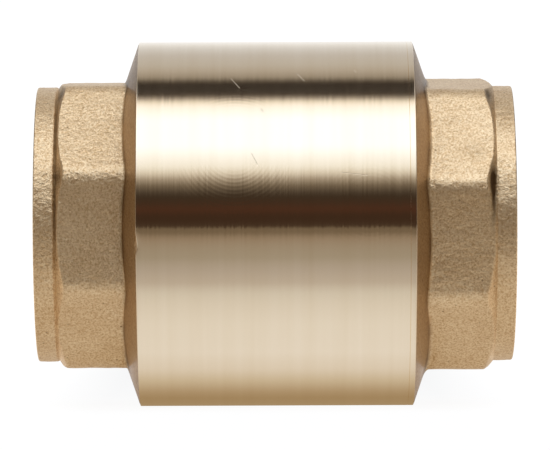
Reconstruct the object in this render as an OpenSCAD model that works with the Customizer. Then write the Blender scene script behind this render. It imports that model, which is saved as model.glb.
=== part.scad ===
// In-line spring check valve with two female G 1 1/2 pipe sockets. Millimetres.
// The bore lies along X: the inlet is at -X and the outlet at +X. +Z is up, and the
// origin is on the bore's axis, halfway between the two end faces. The valve is closed.

/* [Outside] */
// Overall length, from end face to end face
overall_length = 92.25; // [91:0.25:93]
// Outside diameter of the turned barrel
barrel_d = 71; // [70.5:0.25:73]
// Length of the barrel, from shoulder edge to shoulder edge
barrel_length = 53.1; // [52.5:0.1:54]
// How far the barrel's middle lies towards the outlet
barrel_offset = 0.25; // [0:0.05:0.5]
// Distance from the outlet shoulder edge back to the joint of body and cap
joint_inset = 1.15; // [0.9:0.05:1.4]
// Axial length of the cone from each shoulder edge down to the wrench flats
shoulder_length = 2.8; // [2.2:0.1:3.6]

/* [Wrench ends] */
// Distance across opposite flats of the eight-sided ends
across_flats = 54.75; // [54.25:0.25:55.5]
// Radius that the eight corners are rounded back to
corner_r = 29.3; // [28.8:0.05:29.3]
// Turn of the inlet end's flats about the bore, in degrees
inlet_flats_turn = 3; // [0:0.5:44.5]
// Turn of the outlet end's flats about the bore, in degrees
outlet_flats_turn = 7.5; // [0:0.5:44.5]
// Diameter of the plain collar outside the flats
collar_d = 53.5; // [52:0.25:53.5]
// Axial width of the inlet end's collar
inlet_collar_width = 4.1; // [2.8:0.1:4.5]
// Axial width of the outlet end's collar
outlet_collar_width = 3.7; // [2.8:0.1:4.5]
// Axial length of the chamfer from the corners down to the collar
corner_chamfer = 2; // [1.5:0.1:3]
// Chamfer on the collar's outer edge
collar_edge = 0.8; // [0.2:0.1:1]

/* [Pipe sockets] */
// Minor diameter of the female G 1 1/2 pipe thread
thread_minor_d = 44.85; // [44.85:0.01:45.2]
// Length of full thread in each socket
thread_length = 18; // [17:0.25:18.5]
// Depth of the countersink at each socket's mouth
mouth_depth = 1.2; // [0.8:0.1:1.6]
// Radial size of the countersink
mouth_flare = 1.5; // [1:0.1:1.8]
// Diameter of the relief groove behind the thread
relief_d = 48.4; // [48:0.1:49]
// Axial width of the relief groove
relief_width = 0.95; // [0.5:0.05:1.2]

/* [Flow path] */
// Diameter of the port under the seat
port_d = 38; // [37:0.25:38.5]
// Diameter of the chamber round the disc
chamber_d = 61; // [60:0.25:62]
// Outer diameter of the flat seat lip
seat_d = 43; // [42:0.25:44]
// How far the seat lip stands above the chamber floor
seat_height = 2.5; // [1.5:0.25:3]
// Lift of the disc, from the seat to the stop
lift = 7.5; // [6:0.5:7.5]

/* [Moving parts] */
// Diameter of the disc
disc_d = 48; // [46:0.5:50]
// Diameter of the stem's guided ends
stem_d = 6; // [5.5:0.1:6.4]
// Diameter of the stem's core, through the disc and its M8 nut
stem_core_d = 8; // [8:0.01:8.04]
// Radial running clearance of the stem in its bushes
stem_clearance = 0.05; // [0.03:0.01:0.08]
// Diameter of the spring's wire
spring_wire_d = 1.1; // [0.9:0.1:1.2]
// Mean diameter of the spring's coils
spring_mean_d = 20; // [19.8:0.1:21]
// Working coils of the spring, without its two dead end coils
spring_active_coils = 5; // [4:0.5:6]

/* [Guides] */
// Number of arms on each stem guide
guide_arms = 3; // [3:1:4]
// Width of each arm
guide_arm_w = 4.5; // [3:0.25:5]
// Turn of the inlet guide's arms about the bore, in degrees
inlet_guide_turn = 0; // [0:5:115]
// Turn of the outlet guide's arms about the bore, in degrees
outlet_guide_turn = 60; // [0:5:115]

/* [Hidden] */
$fn = 96;

BRASS = "goldenrod";
BRIGHT_BRASS = "khaki";
STEEL = "silver";
NITRILE = "dimgray";
PTFE = "white";

// Cuts run past the faces that they open by this much
cut = 1;
// Pieces that only touch stand this far apart
touch_gap = 0.05;

// Stations along the bore
end_x = overall_length / 2;
inlet_shoulder_x = barrel_length / 2 - barrel_offset;
outlet_shoulder_x = barrel_length / 2 + barrel_offset;
joint_x = outlet_shoulder_x - joint_inset;
inlet_flats_x = end_x - inlet_collar_width;
outlet_flats_x = end_x - outlet_collar_width;
mouth_x = end_x - mouth_depth;
thread_end_x = mouth_x - thread_length;
socket_floor_x = thread_end_x - relief_width;
seat_x = -15;
floor_x = seat_x - seat_height;
inlet_ledge_x = -20.5;
outlet_ledge_x = 13;

// Body and cap
barrel_r = barrel_d / 2;
flat_r = across_flats / 2;
collar_r = collar_d / 2;
thread_r = thread_minor_d / 2;
relief_r = relief_d / 2;
port_r = port_d / 2;
chamber_r = chamber_d / 2;
floor_fillet = 2;
// The seat lip is wider at its foot by this much, in radius
seat_flare = 1.5;
// Each cone runs on below the surface that it meets by this much, in radius
cone_bury = 1;
chamfer_run_on = corner_chamfer * cone_bury / (corner_r - collar_r);

// Joint thread of body and cap, M66 x 1.5, as plain cylinders at its pitch diameter
joint_thread_r = 32.5;
spigot_relief_r = 31.4;
spigot_relief_x = 22.9;

// O-ring in the corner between the cap's flange and spigot
o_ring_pocket_r = 33.4;
o_ring_pocket_x = 23;
o_ring_wire_r = 0.95;

// Outlet throat in the cap, from the spigot's mouth down to the outlet port
outlet_mouth_r = 28.5;
outlet_port_r = 20;
outlet_mouth_depth = 2;
outlet_port_x = 24;

// Guides. Their arms run into the ring and the hub by guide_arm_bury.
guide_arm_bury = 1;
inlet_guide_t = 2.7;
inlet_guide_r = 20.8;
inlet_guide_ring_r = 18.2;
inlet_pocket_r = 20.9;
inlet_hub_r = 7.5;
inlet_hub_x0 = -25.2;
inlet_hub_gap = 0.25;
outlet_guide_t = 3;
outlet_guide_r = 32;
outlet_guide_ring_r = 29;
outlet_hub_r = 8.8;
outlet_hub_x1 = 19;

// Bushes
bush_r = 4.48;
hub_bore_r = 4.5;
bush_bore_r = stem_d / 2 + stem_clearance;
bush_flange_r = 5.8;
bush_flange_t = 1;
bush_end_gap = 0.25;

// Snap ring of the inlet guide
snap_ring_t = 1.1;
snap_ring_r = 21.8;
snap_ring_w = 2.3;
snap_groove_r = 21.9;
snap_groove_gap = 0.05;
snap_ring_opening = 16;
snap_lug_r = 1.9;
snap_lug_hole_r = 0.85;
snap_lug_angle = 14;
snap_lug_step = 0.6;

// Disc assembly, from the seat towards the outlet
seal_t = 2.75;
seal_x = seat_x + touch_gap;
seal_inner_r = 10;
disc_r = disc_d / 2;
disc_rim_w = 0.95;
disc_rim_depth = 1.8;
disc_t = 3.5;
disc_front_x = seal_x + seal_t;
disc_back_x = disc_front_x + disc_t;
boss_r = 9;
boss_length = 7.2;
boss_x = disc_back_x + boss_length;
nut_recess_r = 7.8;
nut_recess_inset = 1.1;
nut_recess_x = disc_back_x + nut_recess_inset;
disc_bore_r = stem_core_d / 2 + touch_gap;

// Seal retainer: a plate, and a boss that fills the seal's hole and bears on the disc.
// Its recess takes the stem's collar and the end of the inlet guide's hub.
retainer_r = 17.5;
retainer_t = 1.8;
retainer_chamfer = 0.6;
retainer_boss_gap = 0.2;
retainer_boss_r = seal_inner_r - retainer_boss_gap;
retainer_recess_r = 8.3;
retainer_recess_floor = 1.2;

// The disc's boss stops this far short of the outlet guide's hub at full lift
stop_gap = 0.15;
outlet_hub_x0 = boss_x + lift + stop_gap;

// Stem
stem_r = stem_d / 2;
stem_core_r = stem_core_d / 2;
stem_core_inset = 0.3;
stem_core_x = boss_x - stem_core_inset;
stem_x0 = inlet_hub_x0 - bush_flange_t;
stem_x1 = 22;
stem_collar_r = 6.5;
stem_collar_t = 1.6;
stem_collar_x = disc_front_x - retainer_recess_floor;
stem_tip = 0.5;
stem_core_chamfer = 0.8;

// The inlet guide's hub ends just short of the stem's collar
inlet_hub_x1 = stem_collar_x - stem_collar_t - inlet_hub_gap;

// Nut and washer, M8
washer_t = 1.6;
washer_r = 7.6;
nut_t = 4;
nut_flats = 13;
fastener_bore_r = 4.05;

// Spring washer, free to turn on the disc's boss
spring_washer_t = 0.8;
spring_washer_bore_r = boss_r + 2 * touch_gap;
spring_washer_r = 12.2;
spring_washer_x = disc_back_x + touch_gap;

// Spring, from its washer to the outlet guide's arms
spring_x0 = spring_washer_x + spring_washer_t + touch_gap;
spring_x1 = outlet_ledge_x;
spring_wire_r = spring_wire_d / 2;
spring_mean_r = spring_mean_d / 2;
spring_dead_gap = 0.12;
spring_dead_pitch = spring_wire_d + spring_dead_gap;
spring_steps = 20;
spring_sides = 6;
spring_turns = spring_active_coils + 2;
spring_active_pitch = (spring_x1 - spring_x0 - spring_wire_d - 2 * spring_dead_pitch) / spring_active_coils;

// A round bar along X
module rod_x(x0, x1, r) {
    translate([x0, 0, 0]) rotate([0, 90, 0]) cylinder(h = x1 - x0, r = r);
}

// A cone along X, of radius r0 at x0 and r1 at x1
module cone_x(x0, x1, r0, r1) {
    translate([x0, 0, 0]) rotate([0, 90, 0]) cylinder(h = x1 - x0, r1 = r0, r2 = r1);
}

// A round tube along X
module tube_x(x0, x1, r_outer, r_inner) {
    difference() {
        rod_x(x0, x1, r_outer);
        rod_x(x0 - cut, x1 + cut, r_inner);
    }
}

// Cone, wrench flats and collar of one end, drawn towards +X from its shoulder edge. turn
// is the angle by which the flat that faces -Y leans down, seen along +X.
module wrench_end(shoulder_x, flats_x, turn) {
    cone_x(shoulder_x, shoulder_x + shoulder_length * (1 + cone_bury / (barrel_r - flat_r)),
        barrel_r, flat_r - cone_bury);
    intersection() {
        translate([shoulder_x, 0, 0]) rotate([0, 90, 0]) rotate([0, 0, 22.5 + turn])
            cylinder(h = flats_x + chamfer_run_on - shoulder_x, r = flat_r / cos(22.5), $fn = 8);
        union() {
            rod_x(shoulder_x, flats_x - corner_chamfer, corner_r);
            cone_x(flats_x - corner_chamfer, flats_x + chamfer_run_on, corner_r, collar_r - cone_bury);
        }
    }
    rod_x(shoulder_x, end_x - collar_edge, collar_r);
    cone_x(end_x - collar_edge, end_x, collar_r, collar_r - collar_edge);
}

// The space of one threaded socket, drawn towards +X
module socket_space() {
    rod_x(socket_floor_x, thread_end_x, relief_r);
    rod_x(thread_end_x - cut, mouth_x, thread_r);
    cone_x(mouth_x, end_x, thread_r, thread_r + mouth_flare);
    rod_x(end_x, end_x + cut, thread_r + mouth_flare);
}

// The chamber, with the seat lip left standing on its rounded floor
module chamber_space() {
    difference() {
        union() {
            rod_x(floor_x, floor_x + floor_fillet, chamber_r - floor_fillet);
            rod_x(floor_x + floor_fillet, outlet_ledge_x + cut, chamber_r);
            rotate([0, 90, 0]) rotate_extrude()
                translate([chamber_r - floor_fillet, floor_x + floor_fillet]) circle(r = floor_fillet);
        }
        cone_x(floor_x, seat_x, seat_d / 2 + seat_flare, seat_d / 2);
    }
}

module valve_body() {
    color(BRASS) difference() {
        union() {
            rod_x(-inlet_shoulder_x, joint_x, barrel_r);
            mirror([1, 0, 0]) wrench_end(inlet_shoulder_x, inlet_flats_x, inlet_flats_turn);
        }
        mirror([1, 0, 0]) socket_space();
        rod_x(-socket_floor_x - cut, inlet_ledge_x, inlet_pocket_r);
        rod_x(inlet_ledge_x - inlet_guide_t - snap_ring_t - snap_groove_gap,
            inlet_ledge_x - inlet_guide_t + snap_groove_gap, snap_groove_r);
        rod_x(inlet_ledge_x - cut, seat_x + cut, port_r);
        chamber_space();
        rod_x(outlet_ledge_x, joint_x + cut, joint_thread_r);
        rod_x(o_ring_pocket_x, joint_x + cut, o_ring_pocket_r);
    }
}

module end_cap() {
    spigot_x = outlet_ledge_x + outlet_guide_t;
    color(BRASS) difference() {
        union() {
            rod_x(joint_x, outlet_shoulder_x, barrel_r);
            wrench_end(outlet_shoulder_x, outlet_flats_x, outlet_flats_turn);
            rod_x(spigot_x, spigot_relief_x, joint_thread_r - touch_gap);
            rod_x(spigot_relief_x, joint_x, spigot_relief_r);
        }
        socket_space();
        rod_x(outlet_port_x, socket_floor_x + cut, outlet_port_r);
        cone_x(spigot_x + outlet_mouth_depth, outlet_port_x, outlet_mouth_r, outlet_port_r);
        rod_x(spigot_x - cut, spigot_x + outlet_mouth_depth, outlet_mouth_r);
    }
}

module cap_o_ring() {
    middle_r = (o_ring_pocket_r + spigot_relief_r) / 2;
    color(NITRILE) translate([joint_x - o_ring_wire_r, 0, 0]) rotate([0, 90, 0])
        rotate_extrude() translate([middle_r, 0]) circle(r = o_ring_wire_r, $fn = 32);
}

// A ring with a bored hub held by straight arms
module guide(ring_x, ring_t, ring_r, ring_bore_r, hub_x0, hub_x1, hub_r, turn) {
    difference() {
        union() {
            tube_x(ring_x, ring_x + ring_t, ring_r, ring_bore_r);
            rod_x(hub_x0, hub_x1, hub_r);
            for (i = [0:guide_arms - 1])
                rotate([turn + i * 360 / guide_arms, 0, 0])
                    translate([ring_x, -guide_arm_w / 2, hub_r - guide_arm_bury])
                        cube([ring_t, guide_arm_w, ring_bore_r - hub_r + 2 * guide_arm_bury]);
        }
        rod_x(hub_x0 - cut, hub_x1 + cut, hub_bore_r);
    }
}

module inlet_guide() {
    color(BRIGHT_BRASS)
        guide(inlet_ledge_x - inlet_guide_t, inlet_guide_t, inlet_guide_r, inlet_guide_ring_r,
            inlet_hub_x0, inlet_hub_x1, inlet_hub_r, inlet_guide_turn);
}

module outlet_guide() {
    color(BRIGHT_BRASS)
        guide(outlet_ledge_x, outlet_guide_t, outlet_guide_r, outlet_guide_ring_r,
            outlet_hub_x0, outlet_hub_x1, outlet_hub_r, outlet_guide_turn);
}

// A flanged liner, with its flange outside the hub
module inlet_bush() {
    color(PTFE) difference() {
        union() {
            rod_x(inlet_hub_x0, inlet_hub_x1 - bush_end_gap, bush_r);
            rod_x(inlet_hub_x0 - bush_flange_t, inlet_hub_x0, bush_flange_r);
        }
        rod_x(inlet_hub_x0 - bush_flange_t - cut, inlet_hub_x1 + cut, bush_bore_r);
    }
}

module outlet_bush() {
    color(PTFE) difference() {
        union() {
            rod_x(outlet_hub_x0 + bush_end_gap, outlet_hub_x1, bush_r);
            rod_x(outlet_hub_x1, outlet_hub_x1 + bush_flange_t, bush_flange_r);
        }
        rod_x(outlet_hub_x0 - cut, outlet_hub_x1 + bush_flange_t + cut, bush_bore_r);
    }
}

// An open ring with a drilled lug at each end, for round-nosed pliers
module inlet_snap_ring() {
    x1 = inlet_ledge_x - inlet_guide_t;
    x0 = x1 - snap_ring_t;
    lug_at = snap_ring_r - snap_ring_w - snap_lug_step;
    color(STEEL) difference() {
        union() {
            tube_x(x0, x1, snap_ring_r, snap_ring_r - snap_ring_w);
            for (side = [-1, 1])
                rotate([180 + side * snap_lug_angle, 0, 0]) translate([0, 0, lug_at])
                    rod_x(x0, x1, snap_lug_r);
        }
        for (side = [-1, 1])
            rotate([180 + side * snap_lug_angle, 0, 0]) translate([0, 0, lug_at])
                rod_x(x0 - cut, x1 + cut, snap_lug_hole_r);
        rotate([0, 90, 0]) linear_extrude(height = 2 * end_x, center = true)
            polygon([[0, 0], [chamber_r, -chamber_r * tan(snap_ring_opening / 2)],
                [chamber_r, chamber_r * tan(snap_ring_opening / 2)]]);
    }
}

// Distance of the wire's middle from the spring's start after t turns: dead, working, dead
function spring_rise(t) =
    spring_wire_r + spring_dead_pitch * min(t, 1)
    + spring_active_pitch * max(0, min(t - 1, spring_active_coils))
    + spring_dead_pitch * max(0, t - 1 - spring_active_coils);

// One corner of the wire's six-sided section after t turns, at section angle a
function spring_point(t, a) =
    let (r = spring_mean_r + spring_wire_r * cos(a), turn = 360 * t)
    [spring_x0 + spring_rise(t) + spring_wire_r * sin(a), r * cos(turn), r * sin(turn)];

module spring() {
    rings = spring_turns * spring_steps;
    points = [for (i = [0:rings], k = [0:spring_sides - 1])
        spring_point(i / spring_steps, k * 360 / spring_sides)];
    sides = [for (i = [0:rings - 1], k = [0:spring_sides - 1])
        let (n = (k + 1) % spring_sides, a = i * spring_sides, b = a + spring_sides)
        each [[a + k, b + k, b + n], [a + k, b + n, a + n]]];
    ends = [[for (k = [0:spring_sides - 1]) k],
        [for (k = [spring_sides - 1:-1:0]) rings * spring_sides + k]];
    color(STEEL) polyhedron(points = points, faces = concat(sides, ends), convexity = 8);
}

module spring_washer() {
    color(STEEL)
        tube_x(spring_washer_x, spring_washer_x + spring_washer_t, spring_washer_r, spring_washer_bore_r);
}

module poppet_disc() {
    color(BRIGHT_BRASS) difference() {
        union() {
            rod_x(disc_front_x, disc_back_x, disc_r);
            tube_x(disc_front_x - disc_rim_depth, disc_front_x, disc_r, disc_r - disc_rim_w);
            rod_x(disc_back_x, boss_x, boss_r);
        }
        rod_x(nut_recess_x, boss_x + cut, nut_recess_r);
        rod_x(disc_front_x - cut, boss_x + cut, disc_bore_r);
    }
}

module disc_seal() {
    color(NITRILE) tube_x(seal_x, disc_front_x, disc_r - disc_rim_w - touch_gap, seal_inner_r);
}

module seal_retainer() {
    color(BRIGHT_BRASS) difference() {
        union() {
            cone_x(seal_x - retainer_t, seal_x - retainer_t + retainer_chamfer,
                retainer_r - retainer_chamfer, retainer_r);
            rod_x(seal_x - retainer_t + retainer_chamfer, seal_x, retainer_r);
            rod_x(seal_x - retainer_t + retainer_chamfer, disc_front_x, retainer_boss_r);
        }
        rod_x(seal_x - retainer_t - cut, disc_front_x - retainer_recess_floor, retainer_recess_r);
        rod_x(disc_front_x - retainer_recess_floor - cut, disc_front_x + cut, disc_bore_r);
    }
}

// A rod with chamfered ends, a collar that bears in the seal retainer's recess, and a thicker
// core that carries the nut's thread. The nut passes over the thinner outlet end.
module stem() {
    color(STEEL) {
        cone_x(stem_x0, stem_x0 + stem_tip, stem_r - stem_tip, stem_r);
        rod_x(stem_x0 + stem_tip, stem_x1 - stem_tip, stem_r);
        cone_x(stem_x1 - stem_tip, stem_x1, stem_r, stem_r - stem_tip);
        rod_x(stem_collar_x - stem_collar_t, stem_collar_x, stem_collar_r);
        rod_x(stem_collar_x, stem_core_x - stem_core_chamfer, stem_core_r);
        cone_x(stem_core_x - stem_core_chamfer, stem_core_x, stem_core_r, stem_core_r - stem_core_chamfer);
    }
}

module stem_washer() {
    color(STEEL) tube_x(nut_recess_x, nut_recess_x + washer_t, washer_r, fastener_bore_r);
}

module stem_nut() {
    x0 = nut_recess_x + washer_t;
    color(STEEL) difference() {
        translate([x0, 0, 0]) rotate([0, 90, 0])
            cylinder(h = nut_t, r = nut_flats / 2 / cos(30), $fn = 6);
        rod_x(x0 - cut, x0 + nut_t + cut, fastener_bore_r);
    }
}

valve_body();
end_cap();
cap_o_ring();
inlet_guide();
inlet_bush();
inlet_snap_ring();
outlet_guide();
outlet_bush();
spring();
spring_washer();
poppet_disc();
disc_seal();
seal_retainer();
stem();
stem_washer();
stem_nut();
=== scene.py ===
"""The looks of an in-line spring check valve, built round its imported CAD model.

Lengths are in millimetres, unless a name ends in _m; meshes are made in metres. The bore lies
along X with the inlet at -X, and the valve lies on its barrel. Angles round the bore start at
-Y, the side that faces the camera, and rise towards +Z.
"""

import math
from typing import NamedTuple

import bmesh
import bpy
import numpy as np
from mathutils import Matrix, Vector, noise


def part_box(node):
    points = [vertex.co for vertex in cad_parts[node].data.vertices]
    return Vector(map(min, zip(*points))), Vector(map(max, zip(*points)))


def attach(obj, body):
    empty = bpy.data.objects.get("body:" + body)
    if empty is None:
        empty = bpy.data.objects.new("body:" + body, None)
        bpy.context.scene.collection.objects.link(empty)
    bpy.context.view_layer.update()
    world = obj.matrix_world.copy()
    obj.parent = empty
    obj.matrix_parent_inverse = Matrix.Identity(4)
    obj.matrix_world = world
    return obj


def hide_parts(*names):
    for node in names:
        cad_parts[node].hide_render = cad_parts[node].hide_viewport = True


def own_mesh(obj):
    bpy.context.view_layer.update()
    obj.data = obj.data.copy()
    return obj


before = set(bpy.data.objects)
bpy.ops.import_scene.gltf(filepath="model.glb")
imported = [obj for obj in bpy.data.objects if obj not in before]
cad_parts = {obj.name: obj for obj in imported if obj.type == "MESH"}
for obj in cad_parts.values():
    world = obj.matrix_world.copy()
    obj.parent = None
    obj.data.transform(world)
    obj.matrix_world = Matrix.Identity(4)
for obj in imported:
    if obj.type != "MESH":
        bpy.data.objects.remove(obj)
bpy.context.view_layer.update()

MM = 0.001


def span(node):
    """A CAD node's first and last station along the bore, and its outer radius."""
    low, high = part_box(node)
    return low.x / MM, high.x / MM, high.z / MM


# ---------------------------------------------------------------- driving dimensions

_, JOINT_X, BARREL_R = span("valve_body")
SPIGOT_X, END_X, _ = span("end_cap")

# Outside
SHOULDER_LENGTH = 2.8
WRENCH_FLATS = 8
SECTOR_DEG = 360 / WRENCH_FLATS
FLAT_R = 27.375
CORNER_ROUND = 5.0
CORNER_STRETCH = 1 / math.cos(math.radians(SECTOR_DEG / 2))
CORNER_R = FLAT_R * CORNER_STRETCH - CORNER_ROUND * (CORNER_STRETCH - 1)
CONE_SLOPE = (BARREL_R - FLAT_R) / SHOULDER_LENGTH
COLLAR_R = 26.75
COLLAR_EDGE = 0.8

# The sockets' pipe thread
THREAD_MINOR_R = 22.425
THREAD_MAJOR_R = 23.9
THREAD_PITCH = 25.4 / 11
MOUTH_R = 23.925
MOUTH_DEPTH = 1.2
THREAD_END_X = END_X - MOUTH_DEPTH - 18.0
RELIEF_R = 24.2
SOCKET_FLOOR_X = THREAD_END_X - 0.95

# Inside the body
INLET_POCKET_R = 20.9
SNAP_GROOVE_X0, SNAP_GROOVE_X1, SNAP_GROOVE_R = -24.35, -23.15, 21.9
INLET_LEDGE_X = -20.5
PORT_R = 19.0
SEAT_X = -15.0
SEAT_R, SEAT_FOOT_R, SEAT_HEIGHT = 21.5, 23.0, 2.5
CHAMBER_R = 30.5
OUTLET_LEDGE_X = 13.0
JOINT_BORE_R = 32.5
O_RING_POCKET_X, O_RING_POCKET_R = 23.0, 33.4

# Inside the cap
SPIGOT_R = 32.45
SPIGOT_MOUTH_R = 28.5
SPIGOT_RELIEF_X, SPIGOT_RELIEF_R = 22.9, 31.4
OUTLET_PORT_X, OUTLET_PORT_R = 24.0, 20.0

# Inside the guides' hubs
HUB_BORE_R = 4.5

# Material numbers inside the body and the cap
TURNED, CAST, MACHINED, SHOULDER = 0, 1, 2, 3


# ---------------------------------------------------------------- mesh tools

SHARP_DEG = 35


def smooth_min(a, b, blend):
    """The smaller of two surfaces, with their crossing rounded over this height."""
    near = np.maximum(blend - np.abs(a - b), 0) / blend
    return np.minimum(a, b) - near * near * blend / 4


def smooth_max(a, b, blend):
    return -smooth_min(-np.asarray(a), -np.asarray(b), blend)


def rounded(corners, closed=True, steps=4):
    """Rows (x, r, material) along an outline of corners (x, r, rounding, material). A
    material belongs to the stretch after its corner."""
    rows = []
    count = len(corners)
    for i, (x, r, rounding, material) in enumerate(corners):
        here = Vector((x, r))
        ends = not closed and i in (0, count - 1)
        if not rounding or ends:
            rows.append((x, r, material))
            continue
        before = Vector(corners[i - 1][:2]) - here
        after = Vector(corners[(i + 1) % count][:2]) - here
        reach = min(rounding, before.length * 0.48, after.length * 0.48)
        start = here + before.normalized() * reach
        stop = here + after.normalized() * reach
        for k in range(steps + 1):
            t = k / steps
            point = start * (1 - t) ** 2 + here * 2 * t * (1 - t) + stop * t * t
            rows.append((point.x, point.y, material))
    return rows


def even_angles(count):
    return np.linspace(0, 2 * math.pi, count, endpoint=False)


def add_object(name, bm, materials, sharp_deg=SHARP_DEG):
    bmesh.ops.recalc_face_normals(bm, faces=bm.faces)
    mesh = bpy.data.meshes.new(name)
    bm.to_mesh(mesh)
    bm.free()
    for material in materials:
        mesh.materials.append(material)
    mesh.shade_smooth()
    mesh.set_sharp_from_angle(angle=math.radians(sharp_deg))
    piece = bpy.data.objects.new(name, mesh)
    bpy.context.scene.collection.objects.link(piece)
    return piece


def revolve(name, rows, materials, angles, closed=True):
    """A solid made of rings about the bore. A row is (x, r, material), and x and r may be
    arrays over the angles. A row of radius 0 is one point on the axis. The material is that
    of the strip up to the next row."""
    count = len(angles)
    bm = bmesh.new()
    rings = []
    for x, r, _ in rows:
        if np.isscalar(r) and r == 0:
            rings.append([bm.verts.new((x * MM, 0, 0))])
            continue
        xs = np.broadcast_to(x, count)
        rs = np.broadcast_to(r, count)
        points = np.stack([xs, -rs * np.cos(angles), rs * np.sin(angles)], axis=1) * MM
        rings.append([bm.verts.new(p) for p in points])
    strips = len(rows) if closed else len(rows) - 1
    for j in range(strips):
        a, b = rings[j], rings[(j + 1) % len(rows)]
        for i in range(count):
            n = (i + 1) % count
            corners = [a[i % len(a)], a[n % len(a)], b[n % len(b)], b[i % len(b)]]
            face = bm.faces.new(list(dict.fromkeys(corners)))
            face.material_index = rows[j][2]
    return add_object(name, bm, materials)


def join_solids(base, others, operation="UNION"):
    """Boolean of the other pieces into base; the others are removed."""
    for other in others:
        modifier = base.modifiers.new("boolean", "BOOLEAN")
        modifier.operation = operation
        modifier.solver = "EXACT"
        modifier.object = other
    apply_modifiers(base)
    for other in others:
        bpy.data.objects.remove(other)


def apply_modifiers(piece):
    bpy.context.view_layer.update()
    graph = bpy.context.evaluated_depsgraph_get()
    made = bpy.data.meshes.new_from_object(piece.evaluated_get(graph))
    piece.modifiers.clear()
    piece.data = made


def soften_edges(piece, width):
    """Breaks every hard edge of a piece with a small bevel."""
    bevel = piece.modifiers.new("bevel", "BEVEL")
    bevel.width = width * MM
    bevel.segments = 2
    bevel.limit_method = "ANGLE"
    bevel.angle_limit = math.radians(SHARP_DEG)
    apply_modifiers(piece)
    piece.data.shade_smooth()
    piece.data.set_sharp_from_angle(angle=math.radians(SHARP_DEG))


def block(name, low, high, turn_deg, material):
    """A bar between two corners, turned about the bore."""
    bm = bmesh.new()
    bmesh.ops.create_cube(bm, size=1)
    turn = math.radians(turn_deg)
    for v in bm.verts:
        p = [low[k] + (high[k] - low[k]) * (v.co[k] + 0.5) for k in range(3)]
        y = p[1] * math.cos(turn) - p[2] * math.sin(turn)
        z = p[1] * math.sin(turn) + p[2] * math.cos(turn)
        v.co = Vector((p[0], y, z)) * MM
    return add_object(name, bm, [material])


# ---------------------------------------------------------------- materials


def shader_nodes(tree):
    """Returns a function that adds a node, sets its properties, and fills or links inputs."""

    def add(kind, inputs=None, **settings):
        made = tree.nodes.new(kind)
        for key, value in settings.items():
            setattr(made, key, value)
        for key, value in (inputs or {}).items():
            if isinstance(value, bpy.types.NodeSocket):
                tree.links.new(value, made.inputs[key])
            else:
                made.inputs[key].default_value = value
        return made

    return add


def new_material(name):
    material = bpy.data.materials.new(name)
    material.use_nodes = True
    tree = material.node_tree
    tree.nodes.clear()
    add = shader_nodes(tree)
    output = add("ShaderNodeOutputMaterial")

    def finish(surface):
        tree.links.new(surface, output.inputs["Surface"])
        return material

    return add, finish


def millimetres(add, scale=(1, 1, 1)):
    """The surface's own coordinates in millimetres, each axis times its scale."""
    here = add("ShaderNodeTexCoord").outputs["Object"]
    return vector_maths(add, "MULTIPLY", here, tuple(s / MM for s in scale))


def ramp(add, value, stops):
    """A colour ramp through (position, grey or colour) stops."""
    made = add("ShaderNodeValToRGB", {"Fac": value})
    while len(made.color_ramp.elements) < len(stops):
        made.color_ramp.elements.new(0.5)
    for element, (position, colour) in zip(made.color_ramp.elements, stops):
        element.position = position
        element.color = (*colour, 1) if hasattr(colour, "__len__") else (colour,) * 3 + (1,)
    return made.outputs["Color"]


def remap(add, value, low, high, to_low=0.0, to_high=1.0):
    """Maps low..high onto to_low..to_high, and holds it at both ends."""
    inputs = {"Value": value, "From Min": low, "From Max": high, "To Min": to_low, "To Max": to_high}
    return add("ShaderNodeMapRange", inputs).outputs["Result"]


def between(add, value, low, high):
    """Maps 0..1 onto low..high."""
    return remap(add, value, 0.0, 1.0, low, high)


def mix(add, factor, first, second, blend="MIX"):
    """Blends two colours; each is a socket or four numbers."""
    inputs = {"Factor": factor, 6: first, 7: second}
    return add("ShaderNodeMix", inputs, data_type="RGBA", blend_type=blend).outputs[2]


def vector_maths(add, operation, first, second=None):
    inputs = {0: first} if second is None else {0: first, 1: second}
    made = add("ShaderNodeVectorMath", inputs, operation=operation)
    is_number = operation in ("DISTANCE", "DOT_PRODUCT", "LENGTH")
    return made.outputs["Value" if is_number else "Vector"]


def bump(add, strength, depth, height, normal=None, sinks=False):
    """The surface's normal, or the one given, bent by a relief. A height of 1 stands out by
    the depth in millimetres, or goes in by it where sinks is true."""
    inputs = {"Strength": strength, "Distance": depth * MM, "Height": height}
    if normal is not None:
        inputs["Normal"] = normal
    return add("ShaderNodeBump", inputs, invert=sinks).outputs["Normal"]


def noise_at(add, vector, scale, detail=2.0, roughness=0.5):
    inputs = {"Vector": vector, "Scale": scale, "Detail": detail, "Roughness": roughness}
    return add("ShaderNodeTexNoise", inputs).outputs["Fac"]


def maths(add, operation, a, b=None, c=None):
    inputs = {0: a}
    if b is not None:
        inputs[1] = b
    if c is not None:
        inputs[2] = c
    return add("ShaderNodeMath", inputs, operation=operation).outputs[0]


def window(add, value, low, high, edge):
    """1 where the value lies between low and high, fading to 0 over this edge."""
    return maths(add, "MULTIPLY", remap(add, value, low - edge, low), remap(add, value, high + edge, high))


def buffing_arcs(add, here, centre, inner, outer, spacing):
    """Faint arcs about a point on the surface, as a buffing wheel leaves them."""
    away = vector_maths(add, "DISTANCE", here, centre)
    wave = maths(add, "SINE", maths(add, "MULTIPLY", away, 2 * math.pi / spacing))
    return maths(add, "MULTIPLY", wave, window(add, away, inner, outer, 3.0))


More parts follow.
